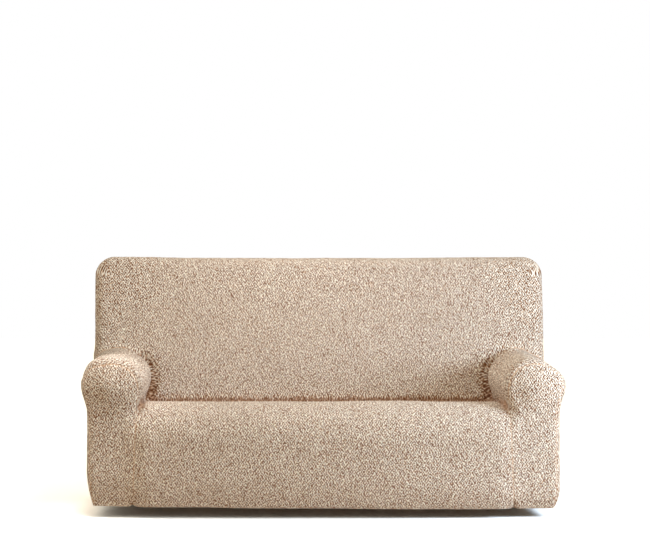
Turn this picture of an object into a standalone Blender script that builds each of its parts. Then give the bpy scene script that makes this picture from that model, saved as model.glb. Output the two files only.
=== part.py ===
"""A stretch sofa slipcover with rolled arms, in the shape that it has when it is pulled tight.

Seven panels of knitted cloth are sewn edge to edge: the inside back, the outside back, the seat
with its apron, two arm covers and two arm fronts. The cover is hollow and open below.
Sizes are in metres. The shape is worked out with x across from the middle, y back from the arm
fronts and z up from the floor. The part's origin is under the cloth, at the middle of the back's
top, so every panel is the child of an empty that stands at the first frame's origin.
"""

import bpy
import numpy as np

CLOTH = 0.0025
SEAM_GAP = 0.0004
HEM_Z = 0.040
HEM_TILT = 0.005

# Arms: a roll on a column, as seen from the front.
ROLL_X = 0.816
ROLL_Z = 0.512
ROLL_RADIUS = 0.120
ROLL_FLATNESS = 1.13
ROLL_RISE = 0.016
COLUMN_X = 0.820
COLUMN_HALF = 0.096
NECK_BLEND = 0.040
ARM_EDGE = 0.032
ARM_FRONT_CURVE = 0.012
FRONT_CURVE_REACH = 1.5
FRONT_DOME = 0.030
FRONT_DOME_REACH = 0.085
SHOULDER_LEFT = 0.012
SHOULDER_RIGHT = -0.014
SHOULDER_TURN = np.radians(52.0)
SHOULDER_SPREAD = np.radians(24.0)

# Seat: a deck that falls to the back, a round nose and a straight apron.
SEAT_HALF = 0.760
SEAT_EDGE = 0.090
DECK_Z = 0.444
DECK_FALL = 0.079
NOSE_RADIUS = 0.160
APRON_Y = -0.035
APRON_CURVE = 0.012

# Back: a leaning slab with round corners, which narrows between the arms.
BACK_HALF = 0.940
BACK_TUCK = 0.075
TUCK_LOW_Z = 0.450
TUCK_HIGH_Z = 0.620
BACK_TOP_Z = 1.021
TOP_SAG = 0.007
BACK_CORNER = 0.082
BACK_EDGE = 0.045
BACK_Y = 0.556
BACK_LEAN = 0.119
BACK_LEAN_FROM_Z = 0.450
BACK_CROWN = 0.012

REAR_Y = 0.850
REAR_EDGE = 0.045
ARM_SEAT_BLEND = 0.050
BACK_BLEND = 0.065

# The elastic draws the hem in, from this height down, and more so on the left.
HEM_PULL_LEFT = 0.027
HEM_PULL_RIGHT = 0.020
PULL_FROM_Z_LEFT = 0.183
PULL_FROM_Z_RIGHT = 0.110

# Where the seams run.
ROLL_START = np.radians(222.0)
ROLL_INNER = np.radians(150.0)
ROLL_OUTER = np.radians(25.0)
ROLL_END = np.radians(-35.0)
SEAM_TURN_INNER = np.radians(12.0)
SEAM_TURN_OUTER = np.radians(50.0)
PINCH = (0.728, 0.020, 0.412)
DECK_SEAM_X = 0.718
APRON_SEAM_X = 0.735
REAR_INSET = 0.047
FACE_INSET = 0.070

# Into how many steps each stretch of a panel is divided.
NECK_STEPS = 3
OVER_STEPS = 9
SHOULDER_STEPS = 4
COLUMN_STEPS = 7
EDGE_STEPS = 3
LENGTH_STEPS = 6
APRON_STEPS = SHOULDER_STEPS + COLUMN_STEPS - NECK_STEPS
WIDTH_STEPS = 16
FACE_EDGE_STEPS = 3
SIDE_STEPS = 2
REAR_EDGE_STEPS = 3
RISE_STEPS = 4
CORNER_STEPS = 2
OVER_TO_LINE = 4
OVER_TO_FACE = OVER_STEPS - FACE_EDGE_STEPS
LENGTH_GROWTH = 1.35
WIDTH_CROWDING = 0.7
SETTLE_ROUNDS = 12
SLOPE_STEP = 1e-4
WELD_DIGITS = 6

SHARP_ANGLE = np.radians(40.0)
LEVEL = (1.0, 1.0, 0.0)
IN_DEPTH = (0.0, 1.0, 0.0)

SAND = (0.560, 0.420, 0.300, 1.0)
KNIT_ROUGHNESS = 0.95


def smooth_min(a, b, reach):
    """The smaller of two distances, with a soft fillet where they are alike."""
    near = np.maximum(reach - np.abs(a - b), 0.0) / reach
    return np.minimum(a, b) - near**2 * reach / 4


def round_max(a, b, radius):
    """The larger of two distances, which rounds the edge between two faces to this radius."""
    past_a = np.maximum(a + radius, 0.0)
    past_b = np.maximum(b + radius, 0.0)
    return np.minimum(np.maximum(a, b) + radius, 0.0) + np.hypot(past_a, past_b) - radius


def smooth_step(low, high, value):
    share = np.clip((value - low) / (high - low), 0.0, 1.0)
    return share * share * (3 - 2 * share)


def hump(share):
    """Nothing at 0 and 1, and 1 halfway between."""
    return 4 * share * (1 - share)


def arms(x, y, z):
    out = np.abs(x) - ROLL_X
    up = (z - ROLL_Z - ROLL_RISE * y) * ROLL_FLATNESS
    off_shoulder = (np.arctan2(up, out) - SHOULDER_TURN) / SHOULDER_SPREAD
    fullness = np.where(x < 0, SHOULDER_LEFT, SHOULDER_RIGHT) * np.exp(-(off_shoulder**2))
    off_centre = np.hypot(out, up)
    roll = off_centre - ROLL_RADIUS - fullness
    column = np.maximum(np.abs(np.abs(x) - COLUMN_X) - COLUMN_HALF, up)
    profile = smooth_min(roll, column, NECK_BLEND)
    outward = (np.abs(x) - COLUMN_X + COLUMN_HALF) / (2 * COLUMN_HALF)
    sweep = ARM_FRONT_CURVE * np.clip(outward, 0.0, FRONT_CURVE_REACH) ** 2
    dome = FRONT_DOME * np.exp(-((off_centre / FRONT_DOME_REACH) ** 2))
    return round_max(profile, sweep - dome - y, ARM_EDGE)


def deck_z(y):
    """The height of the deck, which runs on flat over the nose."""
    return DECK_Z - DECK_FALL * (y - APRON_Y - NOSE_RADIUS)


def seat(x, y, z):
    front = APRON_Y + APRON_CURVE * (x / SEAT_HALF) ** 4 - y
    nose = round_max(front, z - deck_z(y), NOSE_RADIUS)
    return round_max(nose, np.abs(x) - SEAT_HALF, SEAT_EDGE)


def back_face_y(x, z):
    across = np.clip(x / BACK_HALF, -1.0, 1.0)
    up = np.clip((z - DECK_Z) / (BACK_TOP_Z - DECK_Z), 0.0, 1.0)
    crown = BACK_CROWN * (1 - across**2) * hump(up)
    return BACK_Y + BACK_LEAN * (z - BACK_LEAN_FROM_Z) - crown


def back(x, y, z):
    half = BACK_HALF - BACK_TUCK * (1 - smooth_step(TUCK_LOW_Z, TUCK_HIGH_Z, z))
    top = BACK_TOP_Z - TOP_SAG * (1 - (x / BACK_HALF) ** 2)
    outline = round_max(np.abs(x) - half, z - top, BACK_CORNER)
    return round_max(outline, back_face_y(x, z) - y, BACK_EDGE)


def body(points):
    """How far points, in x, y, z columns, are outside the cover's outer face."""
    x, y, z = points.T
    whole = smooth_min(arms(x, y, z), seat(x, y, z), ARM_SEAT_BLEND)
    whole = smooth_min(whole, back(x, y, z), BACK_BLEND)
    whole = round_max(whole, y - REAR_Y, REAR_EDGE)
    right = smooth_step(-BACK_HALF, BACK_HALF, x)
    pull = HEM_PULL_LEFT + (HEM_PULL_RIGHT - HEM_PULL_LEFT) * right
    pull_from = PULL_FROM_Z_LEFT + (PULL_FROM_Z_RIGHT - PULL_FROM_Z_LEFT) * right
    low = np.maximum(pull_from - z, 0.0) / (pull_from - HEM_Z)
    return whole + pull * low**2


def slope(points):
    """The direction in which the body's distance grows fastest."""
    found = np.empty_like(points)
    for axis in range(3):
        step = np.zeros(3)
        step[axis] = SLOPE_STEP
        found[:, axis] = (body(points + step) - body(points - step)) / (2 * SLOPE_STEP)
    return found


def settle(points, free=(1.0, 1.0, 1.0)):
    """Points moved onto the body, straight in or out or only along the free axes."""
    settled = np.array(points, float).reshape(-1, 3)
    for _ in range(SETTLE_ROUNDS):
        way = slope(settled) * free
        settled -= (body(settled) / np.sum(way**2, axis=1))[:, None] * way
    return settled.reshape(np.shape(points))


def steps(count):
    return np.linspace(0.0, 1.0, count + 1)


def crowded(count):
    """Shares from 0 to 1 that lie closer together at both ends."""
    even = steps(count)
    return even - WIDTH_CROWDING * np.sin(2 * np.pi * even) / (2 * np.pi)


def between(start, end, shares):
    """Points at these shares of the way from one point to another."""
    start, end = np.asarray(start, float), np.asarray(end, float)
    return start + np.asarray(shares, float)[:, None] * (end - start)


def patch(bottom, top, left, right):
    """A grid between four seams, its rows from bottom to top, settled onto the body."""
    up = steps(len(left) - 1)[:, None, None]
    along = steps(len(bottom) - 1)[None, :, None]
    level = (1 - up) * bottom + up * top
    upright = (1 - along) * left[:, None] + along * right[:, None]
    low = (1 - along) * bottom[0] + along * bottom[-1]
    high = (1 - along) * top[0] + along * top[-1]
    grid = level + upright - (1 - up) * low - up * high
    grid[1:-1, 1:-1] = settle(grid[1:-1, 1:-1])
    return grid


def arm_stations():
    """Points round an arm's profile, from the seat over the roll to the hem, and the way out."""
    turns = [
        ROLL_START + (ROLL_INNER - ROLL_START) * steps(NECK_STEPS),
        ROLL_INNER + (ROLL_OUTER - ROLL_INNER) * steps(OVER_STEPS)[1:],
        ROLL_OUTER + (ROLL_END - ROLL_OUTER) * steps(SHOULDER_STEPS)[1:],
    ]
    turns = np.concatenate(turns)
    out = np.stack([np.cos(turns), np.sin(turns)], axis=1)
    roll = out * (ROLL_RADIUS, ROLL_RADIUS / ROLL_FLATNESS) + (ROLL_X, ROLL_Z)
    drop = between(roll[-1], (COLUMN_X + COLUMN_HALF, HEM_Z), steps(COLUMN_STEPS)[1:])
    level = np.tile((1.0, 0.0), (COLUMN_STEPS, 1))
    return np.concatenate([roll, drop]), np.concatenate([out, level])


PROFILE, PROFILE_OUT = arm_stations()
LAST_STATION = len(PROFILE) - 1
LINE_STATION = NECK_STEPS + OVER_TO_LINE
FACE_STATION = NECK_STEPS + OVER_TO_FACE
SHOULDER_STATION = NECK_STEPS + OVER_STEPS


def on_arm(station, inset, y):
    x, z = PROFILE[station] - PROFILE_OUT[station] * inset
    return (x, y, z)


def front_edge(station):
    """The arm's rounded front edge at a station, from the front seam to the edge's end."""
    outer = smooth_step(SHOULDER_STATION - OVER_TO_LINE, SHOULDER_STATION, station)
    start = SEAM_TURN_INNER + (SEAM_TURN_OUTER - SEAM_TURN_INNER) * outer
    turns = start + (np.pi / 2 - start) * steps(EDGE_STEPS)
    return [
        on_arm(station, ARM_EDGE * (1 - np.sin(turn)), ARM_EDGE * (1 - np.cos(turn)))
        for turn in turns
    ]


def arm_end_y(station):
    """How far back an arm's row runs: to the back's face, or down the outside past its edge."""
    x, z = PROFILE[min(station, SHOULDER_STATION)]
    past = smooth_step(FACE_STATION, SHOULDER_STATION, station)
    return back_face_y(x, z) + BACK_EDGE * past


def arm_cover(side):
    """The arm cover from its front seam to the back: a row for each depth, a column a station."""
    lengths = steps(LENGTH_STEPS)[1:] ** LENGTH_GROWTH
    columns = []
    for station in range(LAST_STATION + 1):
        edge = front_edge(station)
        end = on_arm(station, 0.0, arm_end_y(station))
        columns.append(np.concatenate([edge, between(edge[-1], end, lengths)]))
    grid = np.stack(columns, axis=1)
    seam = deck_seam(grid[:, 0, 1])
    shift = seam - grid[:, 0]
    for station in range(NECK_STEPS):
        grid[:, station] += shift * (1 - station / NECK_STEPS) ** 2
    grid *= (side, 1.0, 1.0)
    settled = settle(grid)
    settled[:, -1] = to_hem(grid[:, -1])
    return settled


def to_hem(points):
    """The hem at these points: its own height there, on the body."""
    low = points.copy()
    low[:, 2] = HEM_Z - HEM_TILT * low[:, 0]
    return settle(low, LEVEL)


def deck_seam(depths):
    """The seam between the deck and an arm, from the pinch at the front to the back's corner."""
    nose = np.clip(APRON_Y + NOSE_RADIUS - depths, 0.0, NOSE_RADIUS)
    drop = NOSE_RADIUS - np.sqrt(NOSE_RADIUS**2 - nose**2)
    seam = np.stack([np.full_like(depths, DECK_SEAM_X), depths, deck_z(depths) - drop], axis=1)
    seam[: EDGE_STEPS + 1] = between(PINCH, seam[EDGE_STEPS], steps(EDGE_STEPS))
    return seam


def arm_outside(side, cover):
    """The arm cover's outside, from its column beside the back to the rear seam."""
    grid = []
    for station in range(SHOULDER_STATION, LAST_STATION + 1):
        start, end = arm_end_y(station), REAR_Y - REAR_EDGE
        row = [on_arm(station, 0.0, start + (end - start) * share) for share in steps(SIDE_STEPS)]
        for turn in np.pi / 2 * steps(REAR_EDGE_STEPS)[1:]:
            depth = REAR_Y - REAR_EDGE * (1 - np.sin(turn))
            row.append(on_arm(station, REAR_INSET * (1 - np.cos(turn)), depth))
        grid.append(row)
    grid = np.array(grid) * (side, 1.0, 1.0)
    settled = settle(grid)
    settled[-1] = to_hem(grid[-1])
    settled[:, 0] = cover[-1, SHOULDER_STATION:]
    return settled


def hem(start, end, count):
    """The hem between two points of it."""
    line = between(start, end, crowded(count))
    line[1:-1] = to_hem(line[1:-1])
    return line


def apron_seam(side, pinch):
    """The seam below the pinch, from the hem up."""
    foot = (side * APRON_SEAM_X, 0.0, HEM_Z - HEM_TILT * side * APRON_SEAM_X)
    line = between(foot, pinch, steps(APRON_STEPS))
    line[:-1] = settle(line[:-1], IN_DEPTH)
    return line


def rim_rows():
    """The back's rim in rows from the rear seam forward: inset, share of the rear's depth, shift."""
    rows = []
    for turn in np.pi / 2 * steps(REAR_EDGE_STEPS)[:-1]:
        rows.append((REAR_INSET * (1 - np.sin(turn)), 1.0, -REAR_EDGE * (1 - np.cos(turn))))
    for share in steps(SIDE_STEPS)[:-1]:
        rows.append((0.0, 1.0 - share, BACK_EDGE * share - REAR_EDGE * (1 - share)))
    for turn in np.pi / 2 * steps(FACE_EDGE_STEPS):
        rows.append((FACE_INSET * (1 - np.cos(turn)), 0.0, BACK_EDGE * (1 - np.sin(turn))))
    return rows


def rim_end(cover, outside, number):
    """Where a row of the back's rim ends: on the outside's top edge, then over the arm's end."""
    on_side = REAR_EDGE_STEPS + SIDE_STEPS
    if number <= on_side:
        return outside[0, on_side - number]
    return cover[-1, SHOULDER_STATION - (number - on_side)]


def rim_row(inset, rear_share, shift, ends):
    """One row of the back's rim: up the left side, over the top and down the right side."""
    corner_x, corner_z = BACK_HALF - BACK_CORNER, BACK_TOP_Z - BACK_CORNER
    radius = BACK_CORNER - inset
    turns = np.pi / 2 * steps(2 * CORNER_STEPS)[1:]
    arc = np.stack([corner_x + radius * np.cos(turns), corner_z + radius * np.sin(turns)], axis=1)
    halves = []
    for side, end in zip((-1, 1), ends):
        rise = between((BACK_HALF - inset, end[2]), (BACK_HALF - inset, corner_z), steps(RISE_STEPS))
        halves.append(np.concatenate([rise, arc]) * (side, 1.0))
    top = between(halves[0][-1], halves[1][-1], crowded(WIDTH_STEPS))[1:-1]
    x, z = np.concatenate([halves[0], top, halves[1][::-1]]).T
    y = (1 - rear_share) * back_face_y(x, z) + rear_share * REAR_Y + shift
    row = np.stack([x, y, z], axis=1)
    fade = ((1 - steps(RISE_STEPS)) ** 2)[:, None]
    row[: RISE_STEPS + 1] += fade * (ends[0] - row[0])
    row[-RISE_STEPS - 1 :] += fade[::-1] * (ends[1] - row[-1])
    row[1:-1] = settle(row[1:-1])
    return row


def back_rim(covers, outsides):
    """The back's rim, a row for each step from the rear seam to the back's face."""
    rows = []
    for number, (inset, rear_share, shift) in enumerate(rim_rows()):
        ends = [rim_end(cover, outside, number) for cover, outside in zip(covers, outsides)]
        rows.append(rim_row(inset, rear_share, shift, ends))
    return np.array(rows)


def inside_back(covers, rim, crease):
    """The back's face, between the arms and above them, and its rim."""
    left, right = (cover[-1] for cover in covers)
    line = between(left[LINE_STATION], right[LINE_STATION], crowded(WIDTH_STEPS))
    line[1:-1] = settle(line[1:-1])
    low = patch(crease, line, left[: LINE_STATION + 1], right[: LINE_STATION + 1])
    over_left = left[FACE_STATION:LINE_STATION:-1]
    over_right = right[LINE_STATION + 1 : FACE_STATION + 1]
    bottom = np.concatenate([over_left, line, over_right])
    rise = RISE_STEPS + CORNER_STEPS
    inner = rim[-1]
    high = patch(bottom, inner[rise : len(inner) - rise], inner[: rise + 1], inner[::-1][: rise + 1])
    return [low, high, rim]


def outside_back(outsides, rim):
    """The flat panel behind, from the hem up to the rear seam."""
    rise = RISE_STEPS + CORNER_STEPS
    outer = rim[0]
    left = np.concatenate([outsides[0][::-1, -1], outer[1 : rise + 1]])
    right = np.concatenate([outsides[1][::-1, -1], outer[::-1][1 : rise + 1]])
    top = outer[rise : len(outer) - rise]
    return [patch(hem(left[0], right[0], len(top) - 1), top, left, right)]


def seat_panel(covers, aprons, crease):
    """The deck, its nose and the apron down to the hem."""
    left, right = (
        np.concatenate([apron, cover[1:, 0]]) for apron, cover in zip(aprons, covers)
    )
    return [patch(hem(left[0], right[0], WIDTH_STEPS), crease, left, right)]


def arm_front(cover, apron):
    """The front of an arm, inside the front seam, down to the hem."""
    inner = np.concatenate([apron, cover[0, 1 : NECK_STEPS + 1]])
    over = cover[0, NECK_STEPS : SHOULDER_STATION + 1]
    outer = cover[0, SHOULDER_STATION:][::-1]
    return [patch(hem(inner[0], outer[0], OVER_STEPS), over, inner, outer)]


def back_crease(covers):
    """The seam between the deck and the back."""
    left, right = (cover[-1, 0] for cover in covers)
    line = between(left, right, crowded(WIDTH_STEPS))
    line[:, 1] = back_face_y(line[:, 0], DECK_Z)
    line[0], line[-1] = left, right
    line[1:-1] = settle(line[1:-1])
    return line


def weld(grids):
    """The points and four-sided faces of grids that share their common edges."""
    points, faces, known = [], [], {}
    for grid in grids:
        numbers = np.empty(grid.shape[:2], int)
        for place in np.ndindex(*numbers.shape):
            key = tuple(np.round(grid[place], WELD_DIGITS))
            if key not in known:
                known[key] = len(points)
                points.append(grid[place])
            numbers[place] = known[key]
        corners = [numbers[:-1, :-1], numbers[:-1, 1:], numbers[1:, 1:], numbers[1:, :-1]]
        faces.append(facing_out(np.array(points), np.stack(corners, axis=-1).reshape(-1, 4)))
    return np.array(points), np.concatenate(faces)


def facing_out(points, faces):
    """The faces of one grid, turned over if they face into the body."""
    a, b, c, d = (points[faces[:, corner]] for corner in range(4))
    across = np.cross(c - a, d - b)
    out = np.sum(across * slope((a + b + c + d) / 4))
    return faces if out > 0 else faces[:, ::-1]


def border(faces):
    """The edges that only one face uses, each from corner to corner in that face's order."""
    edges = np.concatenate([faces[:, [0, 1]], faces[:, [1, 2]], faces[:, [2, 3]], faces[:, [3, 0]]])
    used = {tuple(edge) for edge in edges}
    return np.array([edge for edge in edges if (edge[1], edge[0]) not in used])


def part_at_seams(points, faces):
    """The panel with its border drawn back along the cloth, so that its neighbour's stays clear."""
    way = slope(points)
    out = way / np.linalg.norm(way, axis=1)[:, None]
    inward = np.zeros((len(points), 2, 3))
    for turn, (start, end) in enumerate(border(faces)):
        for point, place in ((start, 0), (end, 1)):
            across = np.cross(out[point], points[end] - points[start])
            inward[point, place] = across / np.linalg.norm(across)
    first, second = inward[:, 0], inward[:, 1]
    mitre = 1 + np.sum(first * second, axis=1)[:, None]
    return points + SEAM_GAP / 2 * (first + second) / mitre


def rim_triangles(points, start, end, behind):
    """The cloth's cut edge, split along the same diagonal as the neighbour's."""
    if tuple(points[start]) < tuple(points[end]):
        return [(end, start, end + behind), (start, start + behind, end + behind)]
    return [(end, start, start + behind), (end, start + behind, end + behind)]


def knit_material(name):
    knit = bpy.data.materials.new(name + "_knit")
    knit.use_nodes = True
    shader = knit.node_tree.nodes["Principled BSDF"]
    shader.inputs["Base Color"].default_value = SAND
    shader.inputs["Roughness"].default_value = KNIT_ROUGHNESS
    shader.inputs["Metallic"].default_value = 0.0
    return knit


def panel(name, grids, frame):
    """One panel as a solid sheet, its outer face on the body and its thickness inwards."""
    points, faces = weld(grids)
    points = part_at_seams(points, faces)
    way = slope(points)
    inner = points - CLOTH * way / np.linalg.norm(way, axis=1)[:, None]
    behind = len(points)
    corners = faces.tolist() + (faces[:, ::-1] + behind).tolist()
    for start, end in border(faces):
        corners += rim_triangles(points, start, end, behind)
    mesh = bpy.data.meshes.new(name)
    mesh.from_pydata(np.concatenate([points, inner]).tolist(), [], corners)
    mesh.shade_smooth()
    mesh.set_sharp_from_angle(angle=SHARP_ANGLE)
    mesh.materials.append(knit_material(name))
    solid = bpy.data.objects.new(name, mesh)
    solid.parent = frame
    bpy.context.scene.collection.objects.link(solid)


def mount_point():
    """The middle of the back's top, under the cloth."""
    middle = (back_face_y(0.0, BACK_TOP_Z) + REAR_Y) / 2
    top = settle([[0.0, middle, BACK_TOP_Z]])[0]
    return top - (0.0, 0.0, CLOTH)


def main():
    for leftover in list(bpy.data.objects):
        bpy.data.objects.remove(leftover)
    frame = bpy.data.objects.new("floor_frame", None)
    frame.location = -mount_point()
    bpy.context.scene.collection.objects.link(frame)

    sides = (-1, 1)
    covers = [arm_cover(side) for side in sides]
    outsides = [arm_outside(side, cover) for side, cover in zip(sides, covers)]
    aprons = [apron_seam(side, cover[0, 0]) for side, cover in zip(sides, covers)]
    crease = back_crease(covers)
    rim = back_rim(covers, outsides)
    panel("inside_back", inside_back(covers, rim, crease), frame)
    panel("outside_back", outside_back(outsides, rim), frame)
    panel("seat_and_apron", seat_panel(covers, aprons, crease), frame)
    for name, cover, outside, apron in zip(("left", "right"), covers, outsides, aprons):
        panel("arm_cover_" + name, [cover, outside], frame)
        panel("arm_front_" + name, arm_front(cover, apron), frame)


if __name__ == "__main__":
    main()
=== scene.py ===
"""The looks of a stretch sofa slipcover: crinkled knit panels, sewn seams, an elastic hem and the light.

The shape is worked out with x across from the middle, y back from the arm fronts and z up from
the floor, in metres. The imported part's origin is under the cloth, at the middle of the back's
top, so MOUNT carries every point from the one frame to the other.
"""

import bpy
import numpy as np
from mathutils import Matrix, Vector, kdtree


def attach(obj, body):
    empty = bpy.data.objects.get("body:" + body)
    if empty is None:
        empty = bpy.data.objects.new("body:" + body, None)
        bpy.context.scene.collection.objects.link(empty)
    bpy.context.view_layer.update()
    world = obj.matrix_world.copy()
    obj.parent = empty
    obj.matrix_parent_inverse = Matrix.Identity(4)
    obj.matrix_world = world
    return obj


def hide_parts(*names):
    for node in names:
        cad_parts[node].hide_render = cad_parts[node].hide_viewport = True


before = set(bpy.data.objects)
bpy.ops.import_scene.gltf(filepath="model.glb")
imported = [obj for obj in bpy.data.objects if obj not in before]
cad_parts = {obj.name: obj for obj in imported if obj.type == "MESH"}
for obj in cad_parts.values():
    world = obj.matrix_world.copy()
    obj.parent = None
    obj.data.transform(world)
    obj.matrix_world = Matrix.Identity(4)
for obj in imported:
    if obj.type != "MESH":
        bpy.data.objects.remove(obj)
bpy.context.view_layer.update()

CLOTH = 0.0025
SEAM_GAP = 0.0004
HEM_Z = 0.040
HEM_TILT = 0.005

# Arms: a roll on a column, as seen from the front.
ROLL_X = 0.816
ROLL_Z = 0.512
ROLL_RADIUS = 0.120
ROLL_FLATNESS = 1.13
ROLL_RISE = 0.016
COLUMN_X = 0.820
COLUMN_HALF = 0.096
NECK_BLEND = 0.040
ARM_EDGE = 0.032
ARM_FRONT_CURVE = 0.012
FRONT_CURVE_REACH = 1.5
FRONT_DOME = 0.030
FRONT_DOME_REACH = 0.085
SHOULDER_LEFT = 0.012
SHOULDER_RIGHT = -0.014
SHOULDER_TURN = np.radians(52.0)
SHOULDER_SPREAD = np.radians(24.0)

# Seat: a deck that falls to the back, a round nose and a straight apron.
SEAT_HALF = 0.760
SEAT_EDGE = 0.090
DECK_Z = 0.444
DECK_FALL = 0.079
NOSE_RADIUS = 0.160
APRON_Y = -0.035
APRON_CURVE = 0.012

# Back: a leaning slab with round corners, which narrows between the arms.
BACK_HALF = 0.940
BACK_NARROWING = 0.075
NARROW_BELOW_Z = 0.450
FULL_ABOVE_Z = 0.620
BACK_TOP_Z = 1.021
TOP_SAG = 0.007
BACK_CORNER = 0.082
BACK_EDGE = 0.045
BACK_Y = 0.556
BACK_LEAN = 0.119
BACK_LEAN_FROM_Z = 0.450
BACK_CROWN = 0.012

REAR_Y = 0.850
REAR_EDGE = 0.045
ARM_SEAT_BLEND = 0.050
BACK_BLEND = 0.065

# The elastic draws the hem in, from this height down, and more so on the left.
HEM_PULL_LEFT = 0.027
HEM_PULL_RIGHT = 0.020
PULL_FROM_Z_LEFT = 0.183
PULL_FROM_Z_RIGHT = 0.110

# Where the seams run.
ROLL_START = np.radians(222.0)
ROLL_INNER = np.radians(150.0)
ROLL_OUTER = np.radians(25.0)
ROLL_END = np.radians(-35.0)
SEAM_TURN_INNER = np.radians(12.0)
SEAM_TURN_OUTER = np.radians(50.0)
PINCH = (0.728, 0.020, 0.412)
DECK_SEAM_X = 0.718
APRON_SEAM_X = 0.735
REAR_INSET = 0.047
FACE_INSET = 0.070

# Into how many steps each stretch of a panel is divided.
NECK_STEPS = 24
OVER_STEPS = 42
SHOULDER_STEPS = 21
COLUMN_STEPS = 64
EDGE_STEPS = 9
LENGTH_STEPS = 84
APRON_STEPS = SHOULDER_STEPS + COLUMN_STEPS - NECK_STEPS
WIDTH_STEPS = 210
FACE_EDGE_STEPS = 12
SIDE_STEPS = 30
REAR_EDGE_STEPS = 12
RISE_STEPS = 52
CORNER_STEPS = 11
OVER_TO_LINE = 19
OVER_TO_FACE = OVER_STEPS - FACE_EDGE_STEPS
LENGTH_GROWTH = 1.08
WIDTH_CROWDING = 0.45
HEM_CROWDING = 0.5
SETTLE_ROUNDS = 6
SLOPE_STEP = 1e-4
WELD_DIGITS = 6
CLOTH_MAP = "cloth"
SEAM_MAP = "seam"
CREASE_SHADE_MAP = "tuck"

SHARP_ANGLE = np.radians(40.0)
LEVEL = (1.0, 1.0, 0.0)
IN_DEPTH = (0.0, 1.0, 0.0)

# Seams, the hem, the cloth's own unevenness and the small creases at the pinches. Each band of waves
# gives its shortest and longest wave and its height.
SEAM_DIP = 0.0020
SEAM_WIDTH = 0.0050
HEM_EDGE = 0.001
HEM_DEPTH = 0.022
HEM_LINE_DIP = 0.0004
HEM_LINE_WIDTH = 0.004
HEM_FOLD = 0.0020
HEM_FOLD_EASE = 0.006
WAVE_SEED = 7
WAVES_IN_BAND = 10
WAVE_BANDS = ((0.015, 0.040, 0.00022), (0.06, 0.16, 0.0006), (0.25, 0.60, 0.0015))
CREASE_FADE = 0.5
CREASES = [
    {"from": (-0.745, -0.01, 0.412), "to": (-0.700, 0.03, 0.425), "width": 0.010, "height": -0.008},
    {"from": (0.745, -0.01, 0.412), "to": (0.700, 0.03, 0.425), "width": 0.010, "height": -0.008},
    {"from": (0.735, -0.02, 0.405), "to": (0.775, -0.03, 0.440), "width": 0.006, "height": -0.004},
    {"from": (-0.735, -0.02, 0.405), "to": (-0.775, -0.03, 0.385), "width": 0.008, "height": -0.003},
]

# The tucks: how deep and wide the deck is pushed in beside the arms, the arms against the back and
# the deck against the back, and where the tucks begin and end.
SIDE_TUCK = 0.010
TUCK_WIDTH = 0.014
CORNER_TUCK = 0.034
CORNER_WIDTH = 0.020
REAR_TUCK = 0.016
TUCK_FROM_Y = -0.01
TUCK_FULL_Y = 0.07
TUCK_FADE_X = 0.70
TUCK_END_X = 0.80
TUCK_FADE_Y = 0.62
TUCK_END_Y = 0.70

# How far the knit is pulled flat: sharply along a seam outside the tucks, and in the tucks
# themselves, less so higher up. In the tucks it is also drawn to a dark tone: painted shade in the
# creases.
SEAM_SHARPNESS = 4
SEAM_TUCK_DEPTH = 0.002
CREASE_SHADE_DEPTH = 0.020
CREASE_SHADE_MOST = 0.75
CREASE_SHADE_LESS_HIGH = 0.7
CREASE_SHADE_FADE_Z = 0.44
CREASE_SHADE_END_Z = 0.58

# The knit: short slanting ridges, so many to the metre, bent and broken up by noise, brown between
# them and pale on top. Tones run from 0, the hollows, to 1, the crests. The dark hollows and pale
# crests are partly the knit's own pattern, partly painted shade and painted light from its relief.
SAND = (0.735, 0.500, 0.342, 1.0)
HOLLOW = (0.190, 0.080, 0.037, 1.0)
CREST = (1.0, 0.94, 0.84, 1.0)
KNIT_ROUGHNESS = 0.9
KNIT_SPECULAR = 0.1
SHEEN = 0.08
SHEEN_ROUGHNESS = 0.5
SHEEN_TINT = (1.0, 0.97, 0.93, 1.0)
BLISTER_HEIGHT = 0.0007
RIDGES_ACROSS = 1 / 0.0104
RIDGES_ALONG = 1 / 0.0140
BEND_PITCH = 0.012
BEND = 1.0
BREAK_PITCH = 0.006
BREAK_LOW = 0.38
BREAK_HIGH = 0.62
GRAIN_PITCH = 0.0033
GRAIN = 1.3
RIDGE = 1.8
MIDDLE_TONE = 0.5
SEAM_TONE = 0.46
# In the tucks the knit is drawn to this dark tone: painted shade in the creases.
CREASE_SHADE_TONE = 0.12
BLISTER_STRENGTH = 1.0

# Over an arm's inner side and top the knit is drawn out lengthwise, so that its places on the cloth
# advance by only this share.
ARM_DRAW = 0.30

# The camera and the light.
EYE = (-0.205, -7.0, 0.880)
METRES_PER_PIXEL = 0.00385
PICTURE_WIDTH = 650
SENSOR = 36.0
SHIFT_X = 0.0846
SHIFT_Y = 0.0223
# Round soft lamps: name, place, what each is aimed at, diameter, spread in degrees, watts, colour.
LAMPS = [
    ("key_light", (2.2, -0.9, 1.0), (0.0, 0.2, 0.5), 0.8, 180.0, 42.0, (0.72, 0.88, 1.06)),
    ("back_light", (-0.2, -0.1, 1.8), (0.0, 0.2, 0.5), 0.6, 180.0, 8.2, (0.87, 0.86, 0.84)),
    ("left_arm_light", (-0.83, -0.24, 1.65), (-0.82, 0.06, 0.55), 0.3, 36.0, 0.38, (1.0, 1.0, 1.0)),
]
ROOM_COLOUR = (1.0, 0.92, 0.76, 1.0)
ROOM_STRENGTH = 0.75
SEEN_WHITE = (1.0, 1.0, 1.0, 1.0)
SEEN_STRENGTH = 1.0
FLOOR_HALF = 25.0
FLOOR_WHITE = (1.9, 1.9, 1.9, 1.0)
FLOOR_GLOW = (0.60, 0.50, 0.41, 1.0)


def smooth_min(a, b, reach):
    """The smaller of two distances, with a soft fillet where they are alike."""
    near = np.maximum(reach - np.abs(a - b), 0.0) / reach
    return np.minimum(a, b) - near**2 * reach / 4


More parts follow.
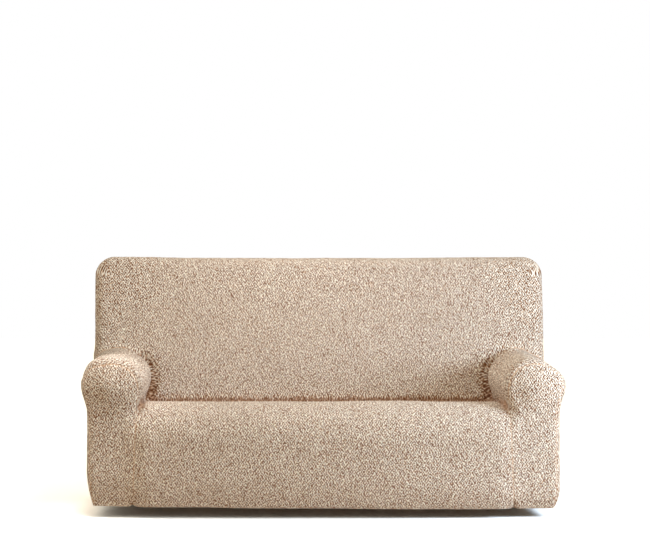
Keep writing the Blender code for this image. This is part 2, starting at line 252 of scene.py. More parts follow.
def round_max(a, b, radius):
    """The larger of two distances, which rounds the edge between two faces to this radius."""
    past_a = np.maximum(a + radius, 0.0)
    past_b = np.maximum(b + radius, 0.0)
    return np.minimum(np.maximum(a, b) + radius, 0.0) + np.hypot(past_a, past_b) - radius


def smooth_step(low, high, value):
    """From 0 at the low value to 1 at the high one, and level at both."""
    share = np.clip((value - low) / (high - low), 0.0, 1.0)
    return share * share * (3 - 2 * share)


def hump(share):
    """Nothing at 0 and 1, and 1 halfway between."""
    return 4 * share * (1 - share)


def arms(x, y, z):
    """How far places are outside the arms."""
    out = np.abs(x) - ROLL_X
    up = (z - ROLL_Z - ROLL_RISE * y) * ROLL_FLATNESS
    off_shoulder = (np.arctan2(up, out) - SHOULDER_TURN) / SHOULDER_SPREAD
    fullness = np.where(x < 0, SHOULDER_LEFT, SHOULDER_RIGHT) * np.exp(-(off_shoulder**2))
    off_centre = np.hypot(out, up)
    roll = off_centre - ROLL_RADIUS - fullness
    column = np.maximum(np.abs(np.abs(x) - COLUMN_X) - COLUMN_HALF, up)
    profile = smooth_min(roll, column, NECK_BLEND)
    outward = (np.abs(x) - COLUMN_X + COLUMN_HALF) / (2 * COLUMN_HALF)
    sweep = ARM_FRONT_CURVE * np.clip(outward, 0.0, FRONT_CURVE_REACH) ** 2
    dome = FRONT_DOME * np.exp(-((off_centre / FRONT_DOME_REACH) ** 2))
    return round_max(profile, sweep - dome - y, ARM_EDGE)


def deck_z(y):
    """The height of the deck, which runs on flat over the nose."""
    return DECK_Z - DECK_FALL * (y - APRON_Y - NOSE_RADIUS)


def seat(x, y, z):
    """How far places are outside the seat with its apron."""
    front = APRON_Y + APRON_CURVE * (x / SEAT_HALF) ** 4 - y
    nose = round_max(front, z - deck_z(y), NOSE_RADIUS)
    return round_max(nose, np.abs(x) - SEAT_HALF, SEAT_EDGE)


def back_face_y(x, z):
    """How far back the back's leaning, slightly crowned face lies."""
    across = np.clip(x / BACK_HALF, -1.0, 1.0)
    up = np.clip((z - DECK_Z) / (BACK_TOP_Z - DECK_Z), 0.0, 1.0)
    crown = BACK_CROWN * (1 - across**2) * hump(up)
    return BACK_Y + BACK_LEAN * (z - BACK_LEAN_FROM_Z) - crown


def back(x, y, z):
    """How far places are outside the back. Its rear is cut off for all parts together in body."""
    half = BACK_HALF - BACK_NARROWING * (1 - smooth_step(NARROW_BELOW_Z, FULL_ABOVE_Z, z))
    top = BACK_TOP_Z - TOP_SAG * (1 - (x / BACK_HALF) ** 2)
    outline = round_max(np.abs(x) - half, z - top, BACK_CORNER)
    return round_max(outline, back_face_y(x, z) - y, BACK_EDGE)


def body(points):
    """How far points, in x, y, z columns, are outside the cover's outer face."""
    x, y, z = points.T
    whole = smooth_min(arms(x, y, z), seat(x, y, z), ARM_SEAT_BLEND)
    whole = smooth_min(whole, back(x, y, z), BACK_BLEND)
    whole = round_max(whole, y - REAR_Y, REAR_EDGE)
    right = smooth_step(-BACK_HALF, BACK_HALF, x)
    pull = HEM_PULL_LEFT + (HEM_PULL_RIGHT - HEM_PULL_LEFT) * right
    pull_from = PULL_FROM_Z_LEFT + (PULL_FROM_Z_RIGHT - PULL_FROM_Z_LEFT) * right
    low = np.maximum(pull_from - z, 0.0) / (pull_from - HEM_Z)
    return whole + pull * low**2


def slope(points):
    """The direction in which the body's distance grows fastest."""
    found = np.empty_like(points)
    for axis in range(3):
        step = np.zeros(3)
        step[axis] = SLOPE_STEP
        found[:, axis] = (body(points + step) - body(points - step)) / (2 * SLOPE_STEP)
    return found


def settle(points, free=(1.0, 1.0, 1.0)):
    """Points moved onto the body, straight in or out or only along the free axes."""
    settled = np.array(points, float).reshape(-1, 3)
    for _ in range(SETTLE_ROUNDS):
        way = slope(settled) * free
        settled -= (body(settled) / np.sum(way**2, axis=1))[:, None] * way
    return settled.reshape(np.shape(points))


def steps(count):
    """Even shares from 0 to 1."""
    return np.linspace(0.0, 1.0, count + 1)


def crowded(count):
    """Shares from 0 to 1 that lie closer together at both ends."""
    even = steps(count)
    return even - WIDTH_CROWDING * np.sin(2 * np.pi * even) / (2 * np.pi)


def closing_in(count):
    """Shares from 0 to 1 that lie closer together towards the end."""
    even = steps(count)
    return even + HEM_CROWDING * hump(even) / 4


def between(start, end, shares):
    """Points at these shares of the way from one point to another."""
    start, end = np.asarray(start, float), np.asarray(end, float)
    return start + np.asarray(shares, float)[:, None] * (end - start)


def patch(bottom, top, left, right):
    """A grid between four seams, its rows from bottom to top, settled onto the body."""
    up = steps(len(left) - 1)[:, None, None]
    along = steps(len(bottom) - 1)[None, :, None]
    level = (1 - up) * bottom + up * top
    upright = (1 - along) * left[:, None] + along * right[:, None]
    low = (1 - along) * bottom[0] + along * bottom[-1]
    high = (1 - along) * top[0] + along * top[-1]
    grid = level + upright - (1 - up) * low - up * high
    grid[1:-1, 1:-1] = settle(grid[1:-1, 1:-1])
    return grid


def arm_stations():
    """Points round an arm's profile, from the seat over the roll to the hem, and the way out."""
    turns = [
        ROLL_START + (ROLL_INNER - ROLL_START) * steps(NECK_STEPS),
        ROLL_INNER + (ROLL_OUTER - ROLL_INNER) * steps(OVER_STEPS)[1:],
        ROLL_OUTER + (ROLL_END - ROLL_OUTER) * steps(SHOULDER_STEPS)[1:],
    ]
    turns = np.concatenate(turns)
    out = np.stack([np.cos(turns), np.sin(turns)], axis=1)
    roll = out * (ROLL_RADIUS, ROLL_RADIUS / ROLL_FLATNESS) + (ROLL_X, ROLL_Z)
    drop = between(roll[-1], (COLUMN_X + COLUMN_HALF, HEM_Z), closing_in(COLUMN_STEPS)[1:])
    level = np.tile((1.0, 0.0), (COLUMN_STEPS, 1))
    return np.concatenate([roll, drop]), np.concatenate([out, level])


PROFILE, PROFILE_OUT = arm_stations()
LAST_STATION = len(PROFILE) - 1
LINE_STATION = NECK_STEPS + OVER_TO_LINE
FACE_STATION = NECK_STEPS + OVER_TO_FACE
SHOULDER_STATION = NECK_STEPS + OVER_STEPS


def on_arm(station, inset, y):
    """A point of the arm's profile, moved in by the inset, at this depth."""
    x, z = PROFILE[station] - PROFILE_OUT[station] * inset
    return (x, y, z)


def front_edge(station):
    """The arm's rounded front edge at a station, from the front seam to the edge's end."""
    outer = smooth_step(SHOULDER_STATION - OVER_TO_LINE, SHOULDER_STATION, station)
    start = SEAM_TURN_INNER + (SEAM_TURN_OUTER - SEAM_TURN_INNER) * outer
    turns = start + (np.pi / 2 - start) * steps(EDGE_STEPS)
    return [
        on_arm(station, ARM_EDGE * (1 - np.sin(turn)), ARM_EDGE * (1 - np.cos(turn)))
        for turn in turns
    ]


def arm_end_y(station):
    """How far back an arm's row runs: to the back's face, or down the outside past its edge."""
    x, z = PROFILE[min(station, SHOULDER_STATION)]
    past = smooth_step(FACE_STATION, SHOULDER_STATION, station)
    return back_face_y(x, z) + BACK_EDGE * past


def to_hem(points):
    """The hem at these points: its own height there, on the body."""
    low = points.copy()
    low[:, 2] = HEM_Z - HEM_TILT * low[:, 0]
    return settle(low, LEVEL)


def deck_seam(depths):
    """The seam between the deck and an arm, from the pinch at the front to the back's corner."""
    nose = np.clip(APRON_Y + NOSE_RADIUS - depths, 0.0, NOSE_RADIUS)
    drop = NOSE_RADIUS - np.sqrt(NOSE_RADIUS**2 - nose**2)
    seam = np.stack([np.full_like(depths, DECK_SEAM_X), depths, deck_z(depths) - drop], axis=1)
    seam[: EDGE_STEPS + 1] = between(PINCH, seam[EDGE_STEPS], steps(EDGE_STEPS))
    return seam


def arm_cover(side):
    """The arm cover from its front seam to the back: a row for each depth, a column a station."""
    lengths = steps(LENGTH_STEPS)[1:] ** LENGTH_GROWTH
    columns = []
    for station in range(LAST_STATION + 1):
        edge = front_edge(station)
        end = on_arm(station, 0.0, arm_end_y(station))
        columns.append(np.concatenate([edge, between(edge[-1], end, lengths)]))
    grid = np.stack(columns, axis=1)
    seam = deck_seam(grid[:, 0, 1])
    shift = seam - grid[:, 0]
    for station in range(NECK_STEPS):
        grid[:, station] += shift * (1 - station / NECK_STEPS) ** 2
    grid *= (side, 1.0, 1.0)
    settled = settle(grid)
    settled[:, -1] = to_hem(grid[:, -1])
    return settled


def arm_outside(side, cover):
    """The arm cover's outside, from its column beside the back to the rear seam."""
    grid = []
    for station in range(SHOULDER_STATION, LAST_STATION + 1):
        start, end = arm_end_y(station), REAR_Y - REAR_EDGE
        row = [on_arm(station, 0.0, start + (end - start) * share) for share in steps(SIDE_STEPS)]
        for turn in np.pi / 2 * steps(REAR_EDGE_STEPS)[1:]:
            depth = REAR_Y - REAR_EDGE * (1 - np.sin(turn))
            row.append(on_arm(station, REAR_INSET * (1 - np.cos(turn)), depth))
        grid.append(row)
    grid = np.array(grid) * (side, 1.0, 1.0)
    settled = settle(grid)
    settled[-1] = to_hem(grid[-1])
    settled[:, 0] = cover[-1, SHOULDER_STATION:]
    return settled


def hem(start, end, count):
    """The hem between two points of it."""
    line = between(start, end, crowded(count))
    line[1:-1] = to_hem(line[1:-1])
    return line


def apron_seam(side, pinch):
    """The seam below the pinch, from the hem up."""
    foot = (side * APRON_SEAM_X, 0.0, HEM_Z - HEM_TILT * side * APRON_SEAM_X)
    line = between(foot, pinch, 1 - closing_in(APRON_STEPS)[::-1])
    line[:-1] = settle(line[:-1], IN_DEPTH)
    return line


def rim_rows():
    """The back's rim in rows from the rear seam forward: inset, share of the rear's depth, shift."""
    rows = []
    for turn in np.pi / 2 * steps(REAR_EDGE_STEPS)[:-1]:
        rows.append((REAR_INSET * (1 - np.sin(turn)), 1.0, -REAR_EDGE * (1 - np.cos(turn))))
    for share in steps(SIDE_STEPS)[:-1]:
        rows.append((0.0, 1.0 - share, BACK_EDGE * share - REAR_EDGE * (1 - share)))
    for turn in np.pi / 2 * steps(FACE_EDGE_STEPS):
        rows.append((FACE_INSET * (1 - np.cos(turn)), 0.0, BACK_EDGE * (1 - np.sin(turn))))
    return rows


def rim_end(cover, outside, number):
    """Where a row of the back's rim ends: on the outside's top edge, then over the arm's end."""
    on_side = REAR_EDGE_STEPS + SIDE_STEPS
    if number <= on_side:
        return outside[0, on_side - number]
    return cover[-1, SHOULDER_STATION - (number - on_side)]


def rim_row(inset, rear_share, shift, ends):
    """One row of the back's rim: up the left side, over the top and down the right side."""
    corner_x, corner_z = BACK_HALF - BACK_CORNER, BACK_TOP_Z - BACK_CORNER
    radius = BACK_CORNER - inset
    turns = np.pi / 2 * steps(2 * CORNER_STEPS)[1:]
    arc = np.stack([corner_x + radius * np.cos(turns), corner_z + radius * np.sin(turns)], axis=1)
    halves = []
    for side, end in zip((-1, 1), ends):
        rise = between((BACK_HALF - inset, end[2]), (BACK_HALF - inset, corner_z), steps(RISE_STEPS))
        halves.append(np.concatenate([rise, arc]) * (side, 1.0))
    top = between(halves[0][-1], halves[1][-1], crowded(WIDTH_STEPS))[1:-1]
    x, z = np.concatenate([halves[0], top, halves[1][::-1]]).T
    y = (1 - rear_share) * back_face_y(x, z) + rear_share * REAR_Y + shift
    row = np.stack([x, y, z], axis=1)
    fade = ((1 - steps(RISE_STEPS)) ** 2)[:, None]
    row[: RISE_STEPS + 1] += fade * (ends[0] - row[0])
    row[-RISE_STEPS - 1 :] += fade[::-1] * (ends[1] - row[-1])
    row[1:-1] = settle(row[1:-1])
    return row


def back_rim(covers, outsides):
    """The back's rim, a row for each step from the rear seam to the back's face."""
    rows = []
    for number, (inset, rear_share, shift) in enumerate(rim_rows()):
        ends = [rim_end(cover, outside, number) for cover, outside in zip(covers, outsides)]
        rows.append(rim_row(inset, rear_share, shift, ends))
    return np.array(rows)


def inside_back(covers, rim, crease):
    """The back's face, between the arms and above them, as far as its rim."""
    left, right = (cover[-1] for cover in covers)
    line = between(left[LINE_STATION], right[LINE_STATION], crowded(WIDTH_STEPS))
    line[1:-1] = settle(line[1:-1])
    low = patch(crease, line, left[: LINE_STATION + 1], right[: LINE_STATION + 1])
    over_left = left[FACE_STATION:LINE_STATION:-1]
    over_right = right[LINE_STATION + 1 : FACE_STATION + 1]
    bottom = np.concatenate([over_left, line, over_right])
    rise = RISE_STEPS + CORNER_STEPS
    inner = rim[-1]
    high = patch(bottom, inner[rise : len(inner) - rise], inner[: rise + 1], inner[::-1][: rise + 1])
    return low, high


def outside_back(outsides, rim):
    """The flat panel behind, from the hem up to the rear seam."""
    rise = RISE_STEPS + CORNER_STEPS
    outer = rim[0]
    left = np.concatenate([outsides[0][::-1, -1], outer[1 : rise + 1]])
    right = np.concatenate([outsides[1][::-1, -1], outer[::-1][1 : rise + 1]])
    top = outer[rise : len(outer) - rise]
    return patch(hem(left[0], right[0], len(top) - 1), top, left, right)


def seat_panel(covers, aprons, crease):
    """The deck, its nose and the apron down to the hem."""
    left, right = (
        np.concatenate([apron, cover[1:, 0]]) for apron, cover in zip(aprons, covers)
    )
    return patch(hem(left[0], right[0], WIDTH_STEPS), crease, left, right)


def arm_front(cover, apron):
    """The front of an arm, inside the front seam, down to the hem."""
    inner = np.concatenate([apron, cover[0, 1 : NECK_STEPS + 1]])
    over = cover[0, NECK_STEPS : SHOULDER_STATION + 1]
    outer = cover[0, SHOULDER_STATION:][::-1]
    return patch(hem(inner[0], outer[0], OVER_STEPS), over, inner, outer)


def back_crease(covers):
    """The seam between the deck and the back."""
    left, right = (cover[-1, 0] for cover in covers)
    line = between(left, right, crowded(WIDTH_STEPS))
    line[:, 1] = back_face_y(line[:, 0], DECK_Z)
    line[0], line[-1] = left, right
    line[1:-1] = settle(line[1:-1])
    return line


def run(grid, axis):
    """How much cloth lies between a grid's first row or column and each of its points."""
    lengths = np.linalg.norm(np.diff(grid, axis=axis), axis=2)
    start = np.zeros_like(lengths.take([0], axis=axis))
    return np.cumsum(np.concatenate([start, lengths], axis=axis), axis=axis)


def on_cloth(across, along):
    """Places on the cloth, in metres, as the knit is mapped."""
    return np.stack(np.broadcast_arrays(across, along), axis=-1)


def as_it_hangs(grid):
    """Places on the cloth, straight across and up as seen from the front."""
    return on_cloth(grid[..., 0], grid[..., 2])


def facing_out(points, faces):
    """The faces of one grid, turned over if they face into the body."""
    a, b, c, d = (points[faces[:, corner]] for corner in range(4))
    across = np.cross(c - a, d - b)
    out = np.sum(across * slope((a + b + c + d) / 4))
    return faces if out > 0 else faces[:, ::-1]


def weld(grids, places):
    """The points of grids that share their common edges, their faces, and each corner's place."""
    points = np.concatenate([grid.reshape(-1, 3) for grid in grids])
    spots = np.concatenate([place.reshape(-1, 2) for place in places])
    _, first, number = np.unique(
        np.round(points, WELD_DIGITS), axis=0, return_index=True, return_inverse=True
    )
    faces, start = [], 0
    for grid in grids:
        rows, columns = grid.shape[:2]
        own = start + np.arange(rows * columns).reshape(rows, columns)
        corners = [own[:-1, :-1], own[:-1, 1:], own[1:, 1:], own[1:, :-1]]
        faces.append(facing_out(points, np.stack(corners, axis=-1).reshape(-1, 4)))
        start += rows * columns
    faces = np.concatenate(faces)
    return points[first], number.reshape(-1)[faces], spots[faces]


def border(faces):
    """The edges that only one face uses, each from corner to corner in that face's order."""
    edges = np.concatenate([faces[:, [0, 1]], faces[:, [1, 2]], faces[:, [2, 3]], faces[:, [3, 0]]])
    _, number, count = np.unique(
        np.sort(edges, axis=1), axis=0, return_inverse=True, return_counts=True
    )
    return edges[count[number.reshape(-1)] == 1]


def unit(vectors):
    return vectors / np.linalg.norm(vectors, axis=1)[:, None]


def hem_height(points):
    """How far points are above the hem."""
    return points[:, 2] - (HEM_Z - HEM_TILT * points[:, 0])


def seam_distance(points, edges):
    """How far each point of a panel is from the nearest seam, leaving out the hem."""
    ends = np.unique(edges)
    sewn = ends[hem_height(points[ends]) > HEM_EDGE]
    tree = kdtree.KDTree(len(sewn))
    for number, point in enumerate(points[sewn]):
        tree.insert(point, number)
    tree.balance()
    return np.array([tree.find(point)[2] for point in points])


def unevenness(points):
    """The cloth's own slight waviness, from a few seeded waves that run in all directions."""
    draw = np.random.default_rng(WAVE_SEED)
    height = np.zeros(len(points))
    for low, high, size in WAVE_BANDS:
        for _ in range(WAVES_IN_BAND):
            way = draw.normal(size=3)
            way *= 2 * np.pi / (draw.uniform(low, high) * np.linalg.norm(way))
            height += size * np.sin(points @ way + draw.uniform(0, 2 * np.pi))
    return height / np.sqrt(WAVES_IN_BAND)


def creases(points):
    """Soft ridges and troughs at listed places: from one end to the other, fading at both."""
    height = np.zeros(len(points))
    for crease in CREASES:
        start, end = np.array(crease["from"]), np.array(crease["to"])
        along = end - start
        share = (points - start) @ along / (along @ along)
        off = np.linalg.norm(points - start - share[:, None] * along, axis=1)
        fade = hump(np.clip(share, 0.0, 1.0)) ** CREASE_FADE
        height += crease["height"] * fade * np.exp(-((off / crease["width"]) ** 2))
    return height


def crease_depth(a, b, reach, groove, width):
    """How far the fillet between two parts is pushed in to make a crease: nothing away from it."""
    near = np.maximum(reach - np.abs(a - b), 0.0) / reach
    depth = near**2 * reach / 4 + groove * np.exp(-(((a - b) / width) ** 2))
    return depth * (1 - smooth_step(reach / 4, reach / 2, np.minimum(a, b)))


def tuck(points):
    """How deep the cloth is pushed into the creases between the seat, the arms and the back."""
    x, y, z = points.T
    arm, deck, behind = arms(x, y, z), seat(x, y, z), back(x, y, z)
    beside = crease_depth(arm, deck, ARM_SEAT_BLEND, SIDE_TUCK, TUCK_WIDTH)
    beside *= smooth_step(TUCK_FROM_Y, TUCK_FULL_Y, y)
    low = smooth_step(-CORNER_WIDTH, CORNER_WIDTH, arm - deck)
    groove = CORNER_TUCK + (REAR_TUCK - CORNER_TUCK) * low
    width = CORNER_WIDTH + (TUCK_WIDTH - CORNER_WIDTH) * low
    against = crease_depth(np.minimum(arm, deck), behind, BACK_BLEND, groove, width)
    inside = 1 - smooth_step(TUCK_FADE_X, TUCK_END_X, np.abs(x))
    ahead = 1 - smooth_step(TUCK_FADE_Y, TUCK_END_Y, y)
    return inside * ahead * np.maximum(beside, against)


def relief(points, seam, tucked):
    """How far the cloth stands off the tight shape, from how near a seam it is and how tucked."""
    above_hem = hem_height(points)
    stitched = np.exp(-(((above_hem - HEM_DEPTH) / HEM_LINE_WIDTH) ** 2))
    free = 1 - seam
    sunk = SEAM_DIP * seam + HEM_LINE_DIP * stitched + tucked
    return free * (unevenness(points) + creases(points)) - sunk


def part_at_seams(points, edges):
    """The panel with its border drawn back along the cloth, so that its neighbour's stays clear."""
    out = unit(slope(points))
    way = points[edges[:, 1]] - points[edges[:, 0]]
    inward = np.zeros((len(points), 2, 3))
    for place in (0, 1):
        ends = edges[:, place]
        inward[ends, place] = unit(np.cross(out[ends], way))
    first, second = inward[:, 0], inward[:, 1]
    mitre = 1 + np.sum(first * second, axis=1)[:, None]
    return points + SEAM_GAP / 2 * (first + second) / mitre


def sheet_mesh(name, outer, inner, faces, edges):
    """A closed sheet: the outer faces, the same ones turned round inside, and a rim between them."""
    behind = len(outer)
    start, end = edges.T
    rim = np.stack([end, start, start + behind, end + behind], axis=1)
    corners = np.concatenate([faces, faces[:, ::-1] + behind, rim])
    mesh = bpy.data.meshes.new(name)
    mesh.from_pydata((np.concatenate([outer, inner]) - MOUNT).tolist(), [], corners.tolist())
    return mesh


def sheet_places(count, faces, spots, edges):
    """The place on the cloth of every corner of a closed sheet, in the order of its faces."""
    start, end = edges.T
    spot_of = np.zeros((count, 2))
    spot_of[faces] = spots
    around = spot_of[np.stack([end, start, start, end], axis=1)]
    return np.concatenate([spots, spots[:, ::-1], around])


def point_layer(mesh, name, values):
    """A value for each point of a panel, alike on its outer and its inner face."""
    layer = mesh.attributes.new(name, "FLOAT", "POINT")
    layer.data.foreach_set("value", np.tile(values, 2))


def flattened_crease_shade(points, tucked):
    """How far the knit is drawn flat and dark, as painted shade, at points that are tucked in this deep.
    """
    high = smooth_step(CREASE_SHADE_FADE_Z, CREASE_SHADE_END_Z, points[:, 2])
    return np.minimum(tucked / CREASE_SHADE_DEPTH, CREASE_SHADE_MOST) * (1 - CREASE_SHADE_LESS_HIGH * high)


def panel(name, grids, places):
    """One panel as a thin closed sheet, its relief on the outer face and its thickness inwards."""
    points, faces, spots = weld(grids, places)
    edges = border(faces)
    seam = np.exp(-((seam_distance(points, edges) / SEAM_WIDTH) ** 2))
    tucked = tuck(points)
    height = relief(points, seam, tucked)
    out = unit(slope(points))
    outer = part_at_seams(points, edges) + height[:, None] * out
    hemmed = 1 - smooth_step(HEM_DEPTH - HEM_FOLD_EASE, HEM_DEPTH, hem_height(points))
    inner = outer - (CLOTH + HEM_FOLD * hemmed)[:, None] * out
    mesh = sheet_mesh(name, outer, inner, faces, edges)
    cloth = sheet_places(len(points), faces, spots, edges)
    mesh.uv_layers.new(name=CLOTH_MAP).uv.foreach_set("vector", cloth.ravel())
    point_layer(mesh, SEAM_MAP, seam**SEAM_SHARPNESS * np.exp(-tucked / SEAM_TUCK_DEPTH))
    # This layer darkens the knit in the tucks: painted shade in the creases.
    point_layer(mesh, CREASE_SHADE_MAP, flattened_crease_shade(points, tucked))
    mesh.shade_smooth()
    mesh.set_sharp_from_angle(angle=SHARP_ANGLE)
    piece = bpy.data.objects.new(name, mesh)
    bpy.context.scene.collection.objects.link(piece)
    return piece


def mount_point():
    """The middle of the back's top, under the cloth."""
    middle = (back_face_y(0.0, BACK_TOP_Z) + REAR_Y) / 2
    top = settle([[0.0, middle, BACK_TOP_Z]])[0]
    return top - (0.0, 0.0, CLOTH)


MOUNT = mount_point()


def shader_node(tree, kind, inputs=(), **settings):
    """A new node with its settings made and its inputs linked or set."""
    made = tree.nodes.new("ShaderNode" + kind)
    for name, value in settings.items():
        setattr(made, name, value)
    for name, value in dict(inputs).items():
        if isinstance(value, bpy.types.NodeSocket):
            tree.links.new(value, made.inputs[name])
        else:
            made.inputs[name].default_value = value
    return made


def math_node(tree, operation, *values):
    made = tree.nodes.new("ShaderNodeMath")
    made.operation = operation
    for number, value in enumerate(values):
        if isinstance(value, bpy.types.NodeSocket):
            tree.links.new(value, made.inputs[number])
        else:
            made.inputs[number].default_value = value
    return made.outputs["Value"]


def wave(tree, places, crossing, bend):
    """Ridges that cross the cloth's length at a slant, from -1 to 1."""
    pitch = (RIDGES_ACROSS, crossing * RIDGES_ALONG, 0.0)
    slant = shader_node(tree, "VectorMath", {0: places, 1: pitch}, operation="DOT_PRODUCT")
    turns = math_node(tree, "MULTIPLY_ADD", bend, BEND, slant.outputs["Value"])
    return math_node(tree, "SINE", math_node(tree, "MULTIPLY", turns, 2 * np.pi))


def noise(tree, places, pitch):
    """Plain noise on the cloth, with blobs of about this size."""
    values = {"Vector": places, "Scale": 1 / pitch, "Detail": 0.0}
    return shader_node(tree, "TexNoise", values, noise_dimensions="2D")


def smoothed(tree, height, layer, tone):
    """The relief drawn flat to one height, as far as a panel's layer says."""
    share = shader_node(tree, "Attribute", attribute_name=layer).outputs["Fac"]
    below = math_node(tree, "SUBTRACT", tone, height)
    return math_node(tree, "MULTIPLY_ADD", below, share, height)


def crinkle_height(tree):
    """The knit's relief from 0 to 1: two families of slanting ridges that break each other up."""
    places = shader_node(tree, "UVMap", uv_map=CLOTH_MAP).outputs["UV"]
    drift = noise(tree, places, BEND_PITCH)
    drifts = shader_node(tree, "SeparateColor", {"Color": drift.outputs["Color"]})
    strength = noise(tree, places, BREAK_PITCH)
    strengths = shader_node(tree, "SeparateColor", {"Color": strength.outputs["Color"]})
    ridges = []
    for crossing, channel in ((1, "Red"), (-1, "Green")):
        ridge = wave(tree, places, crossing, drifts.outputs[channel])
        limits = {"Value": strengths.outputs[channel], "From Min": BREAK_LOW, "From Max": BREAK_HIGH}
        share = shader_node(tree, "MapRange", limits)
        ridges.append(math_node(tree, "MULTIPLY", ridge, share.outputs["Result"]))
    both = math_node(tree, "ADD", *ridges)
    grain = noise(tree, places, GRAIN_PITCH)
    rough = math_node(tree, "MULTIPLY_ADD", grain.outputs["Fac"], GRAIN, -GRAIN / 2)
    height = math_node(tree, "ADD", math_node(tree, "MULTIPLY_ADD", both, RIDGE, MIDDLE_TONE), rough)
    height = smoothed(tree, height, SEAM_MAP, SEAM_TONE)
    # In the tucks the relief is drawn to a dark tone, which paints shade into the creases.
    return smoothed(tree, height, CREASE_SHADE_MAP, CREASE_SHADE_TONE)


def knit_material():
    """The knit's colour and bump from its crinkle, with a rough surface and a slight sheen."""
    knit = bpy.data.materials.new("sand_crinkle_knit")
    knit.use_nodes = True
    tree = knit.node_tree
    shader = tree.nodes["Principled BSDF"]
    height = crinkle_height(tree)
    tone = shader_node(tree, "ValToRGB", {"Fac": height})
    # The ramp's dark hollows and pale crests are partly painted shade and painted light from the relief.
    ramp = tone.color_ramp
    ramp.elements[0].position, ramp.elements[0].color = 0.0, HOLLOW
    ramp.elements[1].position, ramp.elements[1].color = 1.0, CREST
    middle = ramp.elements.new(MIDDLE_TONE)
    middle.color = SAND
    tree.links.new(tone.outputs["Color"], shader.inputs["Base Color"])
    raised = {"Height": height, "Distance": BLISTER_HEIGHT, "Strength": BLISTER_STRENGTH}
    bump = shader_node(tree, "Bump", raised)
    tree.links.new(bump.outputs["Normal"], shader.inputs["Normal"])
    shader.inputs["Roughness"].default_value = KNIT_ROUGHNESS
    shader.inputs["Sheen Weight"].default_value = SHEEN
    shader.inputs["Sheen Roughness"].default_value = SHEEN_ROUGHNESS
    shader.inputs["Sheen Tint"].default_value = SHEEN_TINT
    shader.inputs["Specular IOR Level"].default_value = KNIT_SPECULAR
    return knit


def rim_parts(rim):
    """The rim in three: up the left side, over the top and down the right side."""
    rise = RISE_STEPS + CORNER_STEPS
    left, top, right = rim[:, : rise + 1], rim[:, rise : rim.shape[1] - rise], rim[:, -rise - 1 :]
    parts = []
    for part, side in ((left, -1), (top, 0), (right, 1)):
        deep = run(part[::-1], 0)[::-1]
        face = part[-1]
        if side:
            place = on_cloth(face[:, 0] + side * deep, np.broadcast_to(face[:, 2], deep.shape))
        else:
            place = on_cloth(part[..., 0], face[:, 2] + deep)
        parts.append((part, place))
    return parts


def over_the_arm(cover, outside):
    """Places on an arm cover: across is the arm's length, along runs round its profile."""
    deep = run(cover, 0)
    rounded = np.minimum(deep, deep[EDGE_STEPS])
    outer = smooth_step(LINE_STATION, SHOULDER_STATION, np.arange(LAST_STATION + 1))
    across = rounded + (ARM_DRAW + (1 - ARM_DRAW) * outer) * (deep - rounded)
    round_profile = run(cover, 1)
    along = round_profile[:, SHOULDER_STATION, None] - round_profile
    beside = across[-1, SHOULDER_STATION:, None] + run(outside, 1)
    return [on_cloth(across, along), on_cloth(beside, along[-1, SHOULDER_STATION:, None])]


def panels():
    """Each panel's name, its grids between the seams, and their places on the cloth."""
    sides = (-1, 1)
    covers = [arm_cover(side) for side in sides]
    outsides = [arm_outside(side, cover) for side, cover in zip(sides, covers)]
    aprons = [apron_seam(side, cover[0, 0]) for side, cover in zip(sides, covers)]
    crease = back_crease(covers)
    rim = back_rim(covers, outsides)
    faces = [(grid, as_it_hangs(grid)) for grid in inside_back(covers, rim, crease)]
    behind = outside_back(outsides, rim)
    deck = seat_panel(covers, aprons, crease)
    found = {
        "inside_back": faces + rim_parts(rim),
        "outside_back": [(behind, as_it_hangs(behind))],
        "seat_and_apron": [(deck, on_cloth(deck[..., 0], run(deck, 0)))],
    }
    for side, name, cover, outside, apron in zip(sides, ("left", "right"), covers, outsides, aprons):
        places = over_the_arm(cover, outside)
        found["arm_cover_" + name] = list(zip((cover, outside), places))
        front = arm_front(cover, apron)
        found["arm_front_" + name] = [(front, as_it_hangs(front))]
    return found


def slipcover():
    """Every panel, dressed over the part's node of the same name."""
    knit = knit_material()
    for node, parts in panels().items():
        piece = panel("knit_" + node, *zip(*parts))
        piece.data.materials.append(knit)
        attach(piece, "root")
        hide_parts(node)


def either(tree, felt, seen, output):
    """One shader for the camera and another for the light that bounces about."""
    path = shader_node(tree, "LightPath")
    both = shader_node(tree, "MixShader", {"Fac": path.outputs["Is Camera Ray"]})
    tree.links.new(felt.outputs[0], both.inputs[1])
    tree.links.new(seen.outputs[0], both.inputs[2])
    tree.links.new(both.outputs["Shader"], output.inputs["Surface"])


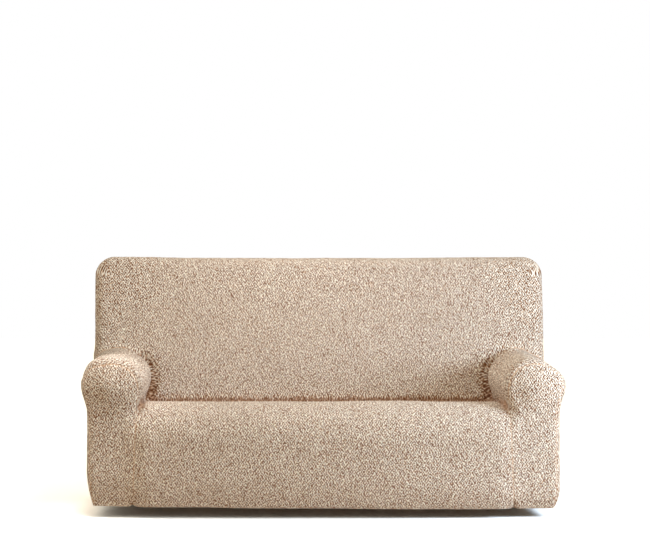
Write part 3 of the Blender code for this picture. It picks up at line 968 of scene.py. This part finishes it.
def floor():
    """A plain floor that reads white, though it throws little light back onto the cloth."""
    z = -MOUNT[2]
    ends = (-FLOOR_HALF, FLOOR_HALF)
    mesh = bpy.data.meshes.new("floor")
    mesh.from_pydata([(x, y, z) for x in ends for y in ends], [], [(0, 2, 3, 1)])
    ground = bpy.data.objects.new("floor", mesh)
    bpy.context.scene.collection.objects.link(ground)
    pale = bpy.data.materials.new("pale_floor")
    pale.use_nodes = True
    tree = pale.node_tree
    seen = shader_node(tree, "BsdfDiffuse", {"Color": FLOOR_WHITE})
    felt = shader_node(tree, "BsdfDiffuse", {"Color": FLOOR_GLOW})
    either(tree, felt, seen, tree.nodes["Material Output"])
    mesh.materials.append(pale)


def aim(obj, target):
    way = np.array(target) - np.array(obj.location)
    obj.rotation_euler = Vector(way).to_track_quat("-Z", "Y").to_euler()


def lights():
    for name, place, target, size, spread, watts, colour in LAMPS:
        lamp = bpy.data.objects.new(name, bpy.data.lights.new(name, "AREA"))
        lamp.data.shape = "DISK"
        lamp.data.size = size
        lamp.data.spread = np.radians(spread)
        lamp.data.energy = watts
        lamp.data.color = colour
        lamp.location = np.array(place) - MOUNT
        aim(lamp, np.array(target) - MOUNT)
        bpy.context.scene.collection.objects.link(lamp)
    studio = bpy.data.worlds.new("studio")
    studio.use_nodes = True
    tree = studio.node_tree
    seen = shader_node(tree, "Background", {"Color": SEEN_WHITE, "Strength": SEEN_STRENGTH})
    felt = shader_node(tree, "Background", {"Color": ROOM_COLOUR, "Strength": ROOM_STRENGTH})
    either(tree, felt, seen, tree.nodes["World Output"])
    bpy.context.scene.world = studio


def camera():
    made = bpy.data.objects.new("camera", bpy.data.cameras.new("camera"))
    made.location = np.array(EYE) - MOUNT
    made.rotation_euler = (np.pi / 2, 0.0, 0.0)
    made.data.sensor_width = SENSOR
    made.data.lens = -EYE[1] / (METRES_PER_PIXEL * PICTURE_WIDTH) * SENSOR
    made.data.shift_x = SHIFT_X
    made.data.shift_y = SHIFT_Y
    bpy.context.scene.collection.objects.link(made)
    bpy.context.scene.camera = made


bpy.context.scene.view_settings.view_transform = "Standard"
camera()
lights()
floor()
slipcover()
